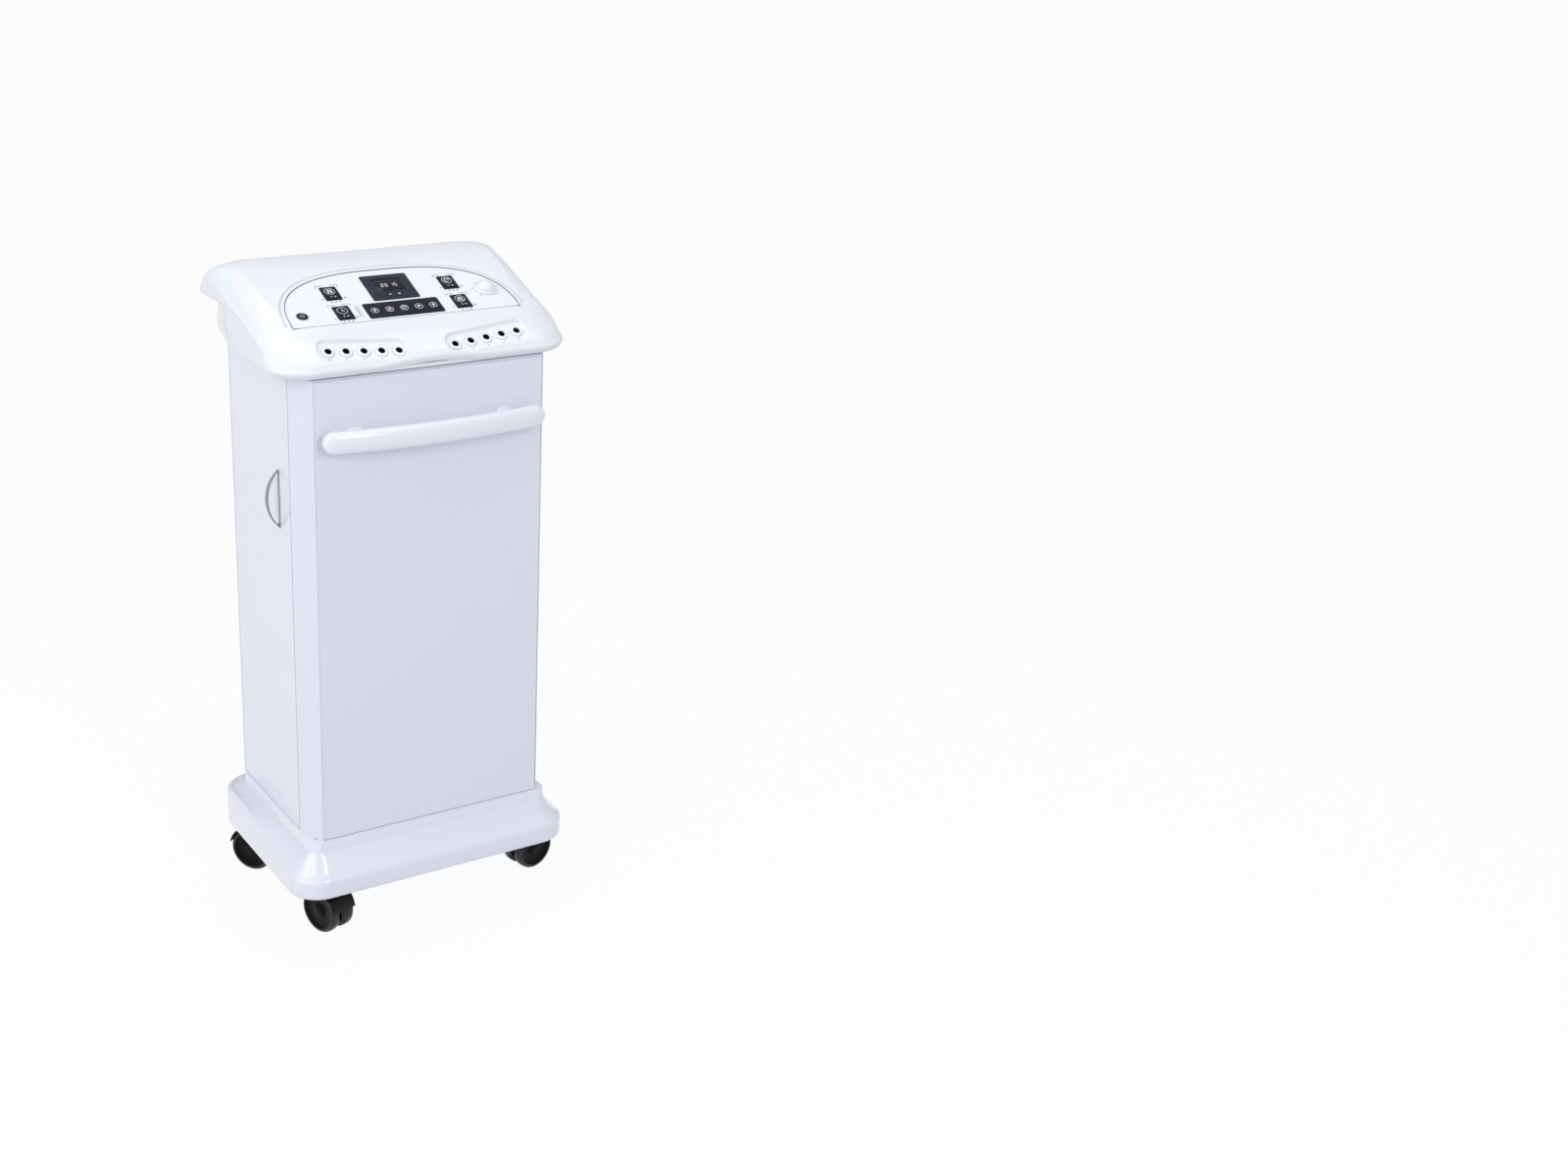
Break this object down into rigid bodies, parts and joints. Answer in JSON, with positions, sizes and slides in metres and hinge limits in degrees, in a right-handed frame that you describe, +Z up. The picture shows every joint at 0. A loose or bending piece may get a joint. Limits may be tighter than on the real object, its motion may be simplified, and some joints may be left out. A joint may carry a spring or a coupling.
{
  "type": "compression therapy pump",
  "caption": "Wheeled cabinet with a sloping control head, hose jacks, a bowed push handle, a side door and twin-disc castors.",
  "frame": {"origin": "floor under the centre of the bounding box", "axes": "+Z up, -Y towards the user at the control head, -X the side with the door"},
  "size_m": [0.4975, 0.382, 1.0503],
  "materials": {
    "cabinet_paint": "smooth satin powder coat",
    "cover_plastic": "glossy moulded plastic",
    "handle_plastic": "glossy moulded plastic",
    "panel_face": "smooth printed film",
    "screen": "dark glossy window",
    "key_plate": "fine matt film",
    "key_caps": "fine matt plastic",
    "knob_plastic": "glossy plastic",
    "jack_recess": "glossy plastic",
    "jack_rings": "glossy plastic",
    "black_plastic": "fine grained plastic",
    "pull_chrome": "polished plating",
    "steel": "zinc plated sheet",
    "cast_alloy": "as cast",
    "circuit_board": "solder resist",
    "air_tube": "soft satin tube",
    "castor_tread": "satin wheel",
    "printed_mark": "printed ink",
    "brass_contact": "bare contact"
  },
  "bodies": {
    "cabinet": {"base_cover": "cover_plastic", "base_frame": "steel", "cabinet_shell": "cabinet_paint", "front_panel": "cabinet_paint", "front_handle": "handle_plastic", "handle_screws": "steel", "door_hinge_pins": "steel", "door_catch": "black_plastic", "equipment_shelf": "steel", "rear_panel": "cabinet_paint", "rear_screws": "steel", "head_cover": "cover_plastic", "head_tray": "cover_plastic", "control_panel": "panel_face", "display_window": "screen", "keypad_plate": "key_plate", "module_plates": "key_plate", "knob_encoder": "steel", "left_jack_plate": "jack_recess", "right_jack_plate": "jack_recess", "left_jacks": "jack_rings", "right_jacks": "jack_rings", "main_board": "circuit_board", "key_switches": "black_plastic", "power_inlet": "black_plastic", "air_manifold": "black_plastic", "compressor_housing": "cast_alloy", "valve_block": "black_plastic", "transformer": "steel", "fan_frame": "black_plastic", "air_tubes": "air_tube"},
    "door": {"side_door": "cabinet_paint", "door_pull": "pull_chrome"},
    "fork_fl": {"castor_fork_fl": "black_plastic"},
    "wheels_fl": {"castor_wheels_fl": "castor_tread"},
    "fork_fr": {"castor_fork_fr": "black_plastic"},
    "wheels_fr": {"castor_wheels_fr": "castor_tread"},
    "fork_rl": {"castor_fork_rl": "black_plastic"},
    "wheels_rl": {"castor_wheels_rl": "castor_tread"},
    "fork_rr": {"castor_fork_rr": "black_plastic"},
    "wheels_rr": {"castor_wheels_rr": "castor_tread"},
    "power_key": {"power_key": "key_caps"},
    "display_key_1": {"display_key_1": "key_caps"},
    "display_key_2": {"display_key_2": "key_caps"},
    "keypad_key_1": {"keypad_key_1": "key_caps"},
    "keypad_key_2": {"keypad_key_2": "key_caps"},
    "keypad_key_3": {"keypad_key_3": "key_caps"},
    "keypad_key_4": {"keypad_key_4": "key_caps"},
    "keypad_key_5": {"keypad_key_5": "key_caps"},
    "module_key_1": {"module_key_1": "key_caps"},
    "module_key_2": {"module_key_2": "key_caps"},
    "module_key_3": {"module_key_3": "key_caps"},
    "module_key_4": {"module_key_4": "key_caps"},
    "knob": {"level_knob": "knob_plastic"},
    "rocker": {"power_switch": "black_plastic"},
    "fan": {"fan_rotor": "black_plastic"},
    "armature": {"compressor_armature": "steel"},
    "valve": {"valve_rotor": "black_plastic"}
  },
  "joints": [
    {"name": "door_hinge", "type": "hinge", "parent": "cabinet", "child": "door", "pos_m": [-0.2015, 0.125, 0.552], "axis": [0, 0, -1], "range_deg": [0, 100]},
    {"name": "castor_swivel_fl", "type": "hinge", "parent": "cabinet", "child": "fork_fl", "pos_m": [-0.181, -0.096, 0.092], "axis": [0, 0, 1], "continuous": true},
    {"name": "castor_roll_fl", "type": "hinge", "parent": "fork_fl", "child": "wheels_fl", "pos_m": [-0.1734, -0.12086, 0.0375], "axis": [0.9563, 0.2924, 0], "continuous": true},
    {"name": "castor_swivel_fr", "type": "hinge", "parent": "cabinet", "child": "fork_fr", "pos_m": [0.181, -0.096, 0.092], "axis": [0, 0, 1], "continuous": true},
    {"name": "castor_roll_fr", "type": "hinge", "parent": "fork_fr", "child": "wheels_fr", "pos_m": [0.20623, -0.08971, 0.0375], "axis": [-0.2419, 0.9703, 0], "continuous": true},
    {"name": "castor_swivel_rl", "type": "hinge", "parent": "cabinet", "child": "fork_rl", "pos_m": [-0.181, 0.102, 0.092], "axis": [0, 0, 1], "continuous": true},
    {"name": "castor_roll_rl", "type": "hinge", "parent": "fork_rl", "child": "wheels_rl", "pos_m": [-0.19628, 0.12303, 0.0375], "axis": [-0.809, -0.5878, 0], "continuous": true},
    {"name": "castor_swivel_rr", "type": "hinge", "parent": "cabinet", "child": "fork_rr", "pos_m": [0.181, 0.102, 0.092], "axis": [0, 0, 1], "continuous": true},
    {"name": "castor_roll_rr", "type": "hinge", "parent": "fork_rr", "child": "wheels_rr", "pos_m": [0.194, 0.12452, 0.0375], "axis": [-0.866, 0.5, 0], "continuous": true},
    {"name": "power_key_press", "type": "slide", "parent": "cabinet", "child": "power_key", "axis": [0, 0.3584, -0.9336], "range_m": [0, 0.0008], "stiffness_N_per_m": 120, "springref_m": -0.0003},
    {"name": "display_key_1_press", "type": "slide", "parent": "cabinet", "child": "display_key_1", "axis": [0, 0.3584, -0.9336], "range_m": [0, 0.0008], "stiffness_N_per_m": 120, "springref_m": -0.0003},
    {"name": "display_key_2_press", "type": "slide", "parent": "cabinet", "child": "display_key_2", "axis": [0, 0.3584, -0.9336], "range_m": [0, 0.0008], "stiffness_N_per_m": 120, "springref_m": -0.0003},
    {"name": "keypad_key_1_press", "type": "slide", "parent": "cabinet", "child": "keypad_key_1", "axis": [0, 0.3584, -0.9336], "range_m": [0, 0.0008], "stiffness_N_per_m": 120, "springref_m": -0.0003},
    {"name": "keypad_key_2_press", "type": "slide", "parent": "cabinet", "child": "keypad_key_2", "axis": [0, 0.3584, -0.9336], "range_m": [0, 0.0008], "stiffness_N_per_m": 120, "springref_m": -0.0003},
    {"name": "keypad_key_3_press", "type": "slide", "parent": "cabinet", "child": "keypad_key_3", "axis": [0, 0.3584, -0.9336], "range_m": [0, 0.0008], "stiffness_N_per_m": 120, "springref_m": -0.0003},
    {"name": "keypad_key_4_press", "type": "slide", "parent": "cabinet", "child": "keypad_key_4", "axis": [0, 0.3584, -0.9336], "range_m": [0, 0.0008], "stiffness_N_per_m": 120, "springref_m": -0.0003},
    {"name": "keypad_key_5_press", "type": "slide", "parent": "cabinet", "child": "keypad_key_5", "axis": [0, 0.3584, -0.9336], "range_m": [0, 0.0008], "stiffness_N_per_m": 120, "springref_m": -0.0003},
    {"name": "module_key_1_press", "type": "slide", "parent": "cabinet", "child": "module_key_1", "axis": [0, 0.3584, -0.9336], "range_m": [0, 0.0008], "stiffness_N_per_m": 120, "springref_m": -0.0003},
    {"name": "module_key_2_press", "type": "slide", "parent": "cabinet", "child": "module_key_2", "axis": [0, 0.3584, -0.9336], "range_m": [0, 0.0008], "stiffness_N_per_m": 120, "springref_m": -0.0003},
    {"name": "module_key_3_press", "type": "slide", "parent": "cabinet", "child": "module_key_3", "axis": [0, 0.3584, -0.9336], "range_m": [0, 0.0008], "stiffness_N_per_m": 120, "springref_m": -0.0003},
    {"name": "module_key_4_press", "type": "slide", "parent": "cabinet", "child": "module_key_4", "axis": [0, 0.3584, -0.9336], "range_m": [0, 0.0008], "stiffness_N_per_m": 120, "springref_m": -0.0003},
    {"name": "level_knob_turn", "type": "hinge", "parent": "cabinet", "child": "knob", "pos_m": [0.15, -0.02745, 1.01063], "axis": [0, -0.3584, 0.9336], "range_deg": [0, 270]},
    {"name": "power_rocker", "type": "hinge", "parent": "cabinet", "child": "rocker", "pos_m": [0.129, 0.146, 0.234], "axis": [1, 0, 0], "range_deg": [-14, 0]},
    {"name": "fan_spin", "type": "hinge", "parent": "cabinet", "child": "fan", "pos_m": [-0.09, 0.133, 0.322], "axis": [0, 1, 0], "continuous": true},
    {"name": "armature_stroke", "type": "slide", "parent": "cabinet", "child": "armature", "axis": [1, 0, 0], "range_m": [-0.002, 0.002]},
    {"name": "valve_turn", "type": "hinge", "parent": "cabinet", "child": "valve", "pos_m": [0.128, -0.06, 0.203], "axis": [0, 0, 1], "continuous": true}
  ]
}
